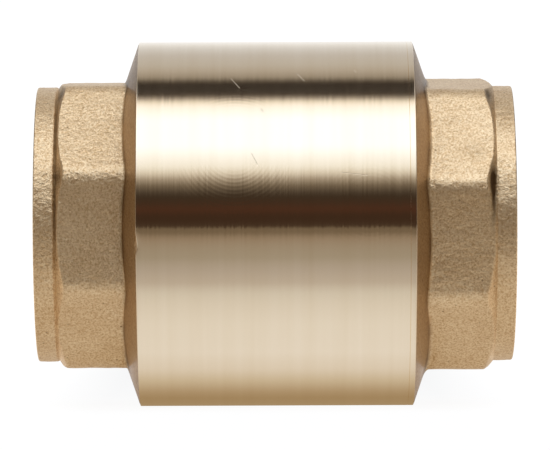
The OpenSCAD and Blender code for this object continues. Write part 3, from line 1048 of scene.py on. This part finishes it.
def spring():
    """A compression coil with closed, ground ends."""
    x0, x1, coil_outer_r = span("spring")
    mean_r = coil_outer_r - WIRE_R
    start, stop = x0 + WIRE_R - GROUND, x1 - WIRE_R + GROUND
    working = (stop - start - 2 * DEAD_PITCH) / (COIL_TURNS - 2)
    bm = bmesh.new()
    rings = []
    for i in range(COIL_TURNS * COIL_STEPS + 1):
        t = i / COIL_STEPS
        rise = DEAD_PITCH * min(t, 1) + working * max(0, min(t - 1, COIL_TURNS - 2))
        rise += DEAD_PITCH * max(0, t - COIL_TURNS + 1)
        ring = []
        for k in range(WIRE_SIDES):
            a = 2 * math.pi * k / WIRE_SIDES
            r = mean_r + WIRE_R * math.cos(a)
            x = min(max(start + rise + WIRE_R * math.sin(a), x0 + 0.01), x1 - 0.01)
            turn = 2 * math.pi * t
            ring.append(bm.verts.new(Vector((x, r * math.cos(turn), r * math.sin(turn))) * MM))
        rings.append(ring)
    for a, b in zip(rings, rings[1:]):
        for k in range(WIRE_SIDES):
            n = (k + 1) % WIRE_SIDES
            bm.faces.new((a[k], a[n], b[n], b[k]))
    bm.faces.new(rings[0])
    bm.faces.new(rings[-1][::-1])
    piece = add_object("spring_piece", bm, [wire_steel], 50)
    dress(piece, "housing", "spring_steel", "spring")
    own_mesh(piece)
    return piece


# ---------------------------------------------------------------- the valve

valve_body()
end_cap()
o_ring()
inlet_plate = (-23.2, INLET_LEDGE_X)
outlet_plate = (OUTLET_LEDGE_X, 16.0)
stem_guide("inlet_guide_piece", "inlet_guide", inlet_plate, ring_bore_r=18.2, hub_r=7.5, first_arm_deg=0)
stem_guide("outlet_guide_piece", "outlet_guide", outlet_plate, ring_bore_r=29.0, hub_r=8.8, first_arm_deg=60)
bush("inlet_bush_piece", "inlet_bush", flange_first=True)
bush("outlet_bush_piece", "outlet_bush", flange_first=False)
snap_ring()
poppet_disc()
disc_seal()
seal_retainer()
stem()
stem_washer()
stem_nut()
spring_washer()
spring()


# ---------------------------------------------------------------- stage, light, camera

FLOOR_Z = -BARREL_R
TABLE_FRONT = -850.0
TABLE_BACK = 3000.0

# The table's glow by distance from the valve's middle, ahead or behind: dim and warm under the
# barrel as a painted shadow, pale beside it, and dim and tan further ahead
TABLE_GLOW = [
    (0, (0.385, 0.275, 0.15)),
    (9, (0.40, 0.30, 0.18)),
    (12, (0.48, 0.385, 0.27)),
    (16, (0.65, 0.59, 0.50)),
    (20, (0.79, 0.77, 0.77)),
    (26, (0.86, 0.87, 0.92)),
    (37, (0.84, 0.85, 0.89)),
    (48, (0.77, 0.77, 0.79)),
    (56, (0.70, 0.70, 0.71)),
    (66, (0.55, 0.52, 0.51)),
    (82, (0.48, 0.45, 0.44)),
    (110, (0.39, 0.36, 0.32)),
    (230, (0.33, 0.27, 0.22)),
    (370, (0.19, 0.15, 0.11)),
]
UNDER_ENDS_GLOW = (0.655, 0.60, 0.55, 1)

# Behind the valve the glow no longer changes past this distance
GLOW_REACH_BEHIND = 40

# What the camera sees of the table, by metres behind the valve: a soft shadow
HAZE = [(0, 0.955), (0.015, 0.935), (0.07, 0.90), (0.27, 0.86), (0.8, 1.0)]


def table():
    """A pale glowing table. The camera sees it near white and without a horizon."""
    add, finish = new_material("pale_table")
    place = add("ShaderNodeSeparateXYZ", {0: millimetres(add)})
    along = place.outputs["Y"]
    aside = maths(add, "ABSOLUTE", place.outputs["X"])
    reach = TABLE_GLOW[-1][0]
    stops = [(distance / reach, colour) for distance, colour in TABLE_GLOW]
    behind_stops = [stop for stop in stops if stop[0] * reach < GLOW_REACH_BEHIND]
    forward = maths(add, "MAXIMUM", maths(add, "MULTIPLY", along, -1.0), 0.0)
    ahead = ramp(add, maths(add, "DIVIDE", forward, reach), stops)
    behind = ramp(add, maths(add, "DIVIDE", along, reach), behind_stops)
    is_ahead = maths(add, "LESS_THAN", along, 0.0)
    at_ends = remap(add, aside, 28.0, 33.0)
    near = remap(add, maths(add, "ABSOLUTE", along), 66.0, 40.0)
    glow = mix(add, maths(add, "MULTIPLY", at_ends, near), mix(add, is_ahead, behind, ahead), UNDER_ENDS_GLOW)
    strength_ahead = between(add, at_ends, 1.0, 0.97)
    strength_behind = remap(add, aside, 50.0, 90.0, 1.0, 2.1)
    strength = add("ShaderNodeMix", {"Factor": is_ahead, 2: strength_behind, 3: strength_ahead}).outputs[0]
    lit = add("ShaderNodeEmission", {"Color": glow, "Strength": strength})
    haze = ramp(add, maths(add, "DIVIDE", along, 1000.0), HAZE)
    clear = mix(add, remap(add, aside, 34.0, 56.0), haze, (1, 1, 1, 1))
    seen = add("ShaderNodeAddShader", {
        0: add("ShaderNodeBsdfDiffuse", {"Color": (0.06, 0.06, 0.06, 1)}).outputs[0],
        1: add("ShaderNodeEmission", {"Color": clear, "Strength": 1.0}).outputs[0],
    })
    camera_ray = add("ShaderNodeLightPath").outputs["Is Camera Ray"]
    mixed = add("ShaderNodeMixShader", {0: camera_ray, 1: lit.outputs[0], 2: seen.outputs[0]})
    material = finish(mixed.outputs[0])
    bm = bmesh.new()
    bmesh.ops.create_grid(bm, x_segments=8, y_segments=8, size=1)
    for v in bm.verts:
        depth = TABLE_FRONT + (TABLE_BACK - TABLE_FRONT) * (v.co.y + 1) / 2
        v.co = Vector((v.co.x * TABLE_BACK, depth, FLOOR_Z - 0.2)) * MM
    piece = add_object("table", bm, [material])


# Studio light by direction: degrees round the bore from -Y over the top, and its colour
STUDIO = [
    (-180, (1.0, 1.0, 1.0)),
    (-90, (0.8, 0.8, 0.8)),
    (-6, (0.19, 0.15, 0.11)),
    (-2, (0.060, 0.038, 0.026)),
    (2, (0.050, 0.028, 0.018)),
    (5, (0.050, 0.028, 0.018)),
    (9, (0.076, 0.034, 0.021)),
    (13, (0.056, 0.033, 0.022)),
    (17, (0.048, 0.034, 0.024)),
    (20, (0.08, 0.063, 0.05)),
    (24, (0.18, 0.15, 0.12)),
    (28, (0.40, 0.36, 0.32)),
    (32, (0.79, 0.78, 0.77)),
    (36, (1.03, 1.09, 1.18)),
    (50, (1.32, 1.49, 1.84)),
    (69, (1.32, 1.49, 1.84)),
    (79, (1.18, 1.25, 1.38)),
    (82.5, (1.0, 0.98, 0.97)),
    (85.5, (0.38, 0.35, 0.33)),
    (88.5, (0.070, 0.054, 0.042)),
    (91, (0.032, 0.024, 0.018)),
    (98.5, (0.030, 0.023, 0.018)),
    (101.5, (0.10, 0.085, 0.072)),
    (106, (0.36, 0.335, 0.31)),
    (113, (0.50, 0.48, 0.47)),
    (120, (0.56, 0.56, 0.58)),
    (134, (0.60, 0.61, 0.66)),
    (146, (0.72, 0.75, 0.82)),
    (160, (0.92, 0.95, 1.0)),
    (180, (1.0, 1.0, 1.0)),
]

# The studio's ends are dark, but for a pale panel square on to each end of the bore, and a
# lamp above each end
SIDE_DARK = (0.060, 0.045, 0.034, 1)
SIDE_PANEL = (0.70, 0.69, 0.67, 1)
SIDE_LAMP = (1.85, 1.90, 2.05, 1)


def studio_light():
    """Soft boxes above and in front, a dark gap between them, and a white backdrop."""
    world = bpy.data.worlds.new("studio")
    bpy.context.scene.world = world
    world.use_nodes = True
    tree = world.node_tree
    tree.nodes.clear()
    add = shader_nodes(tree)
    toward = add("ShaderNodeSeparateXYZ", {0: add("ShaderNodeTexCoord").outputs["Generated"]})
    forward = maths(add, "MULTIPLY", toward.outputs["Y"], -1.0)
    angle = maths(add, "ARCTAN2", toward.outputs["Z"], forward)
    stops = [((degrees + 180) / 360, colour) for degrees, colour in STUDIO]
    bands = ramp(add, remap(add, angle, -math.pi, math.pi), stops)
    side = maths(add, "ABSOLUTE", toward.outputs["X"])
    behind = remap(add, forward, -0.6, -0.8)
    past_start = maths(add, "SUBTRACT", side, between(add, behind, 0.45, 0.36))
    to_side = remap(add, past_start, 0.0, between(add, behind, 0.22, 0.10))
    panel = maths(add, "MULTIPLY", remap(add, side, 0.93, 0.985), remap(add, forward, 0.2, 0.0))
    ends = mix(add, panel, SIDE_DARK, SIDE_PANEL)
    high = remap(add, toward.outputs["Z"], 0.5, 0.8)
    high_aside = maths(add, "MULTIPLY", high, remap(add, side, 0.18, 0.32))
    lamp = maths(add, "MULTIPLY", high_aside, remap(add, forward, -0.35, -0.05))
    colour = mix(add, lamp, mix(add, to_side, bands, ends), SIDE_LAMP)
    lights = add("ShaderNodeBackground", {"Color": colour, "Strength": 1.0})
    backdrop = add("ShaderNodeBackground", {"Color": (1, 1, 1, 1), "Strength": 1.05})
    camera_ray = add("ShaderNodeLightPath").outputs["Is Camera Ray"]
    mixed = add("ShaderNodeMixShader", {0: camera_ray, 1: lights.outputs[0], 2: backdrop.outputs[0]})
    output = add("ShaderNodeOutputWorld")
    tree.links.new(mixed.outputs[0], output.inputs["Surface"])


CAMERA_AWAY_M = 1.0
CAMERA_LENS = 335.1
CAMERA_ROLL = math.radians(0.21)
CAMERA_SHIFT_Y = -0.0024


def camera():
    data = bpy.data.cameras.new("camera")
    data.lens = CAMERA_LENS
    data.sensor_width = 36
    data.shift_y = CAMERA_SHIFT_Y
    data.clip_start = 0.05
    data.clip_end = 20
    made = bpy.data.objects.new("camera", data)
    bpy.context.scene.collection.objects.link(made)
    made.location = (0, -CAMERA_AWAY_M, 0)
    made.rotation_euler = (math.radians(90), CAMERA_ROLL, 0)
    bpy.context.scene.camera = made


table()
studio_light()
camera()
bpy.context.scene.view_settings.view_transform = "Standard"
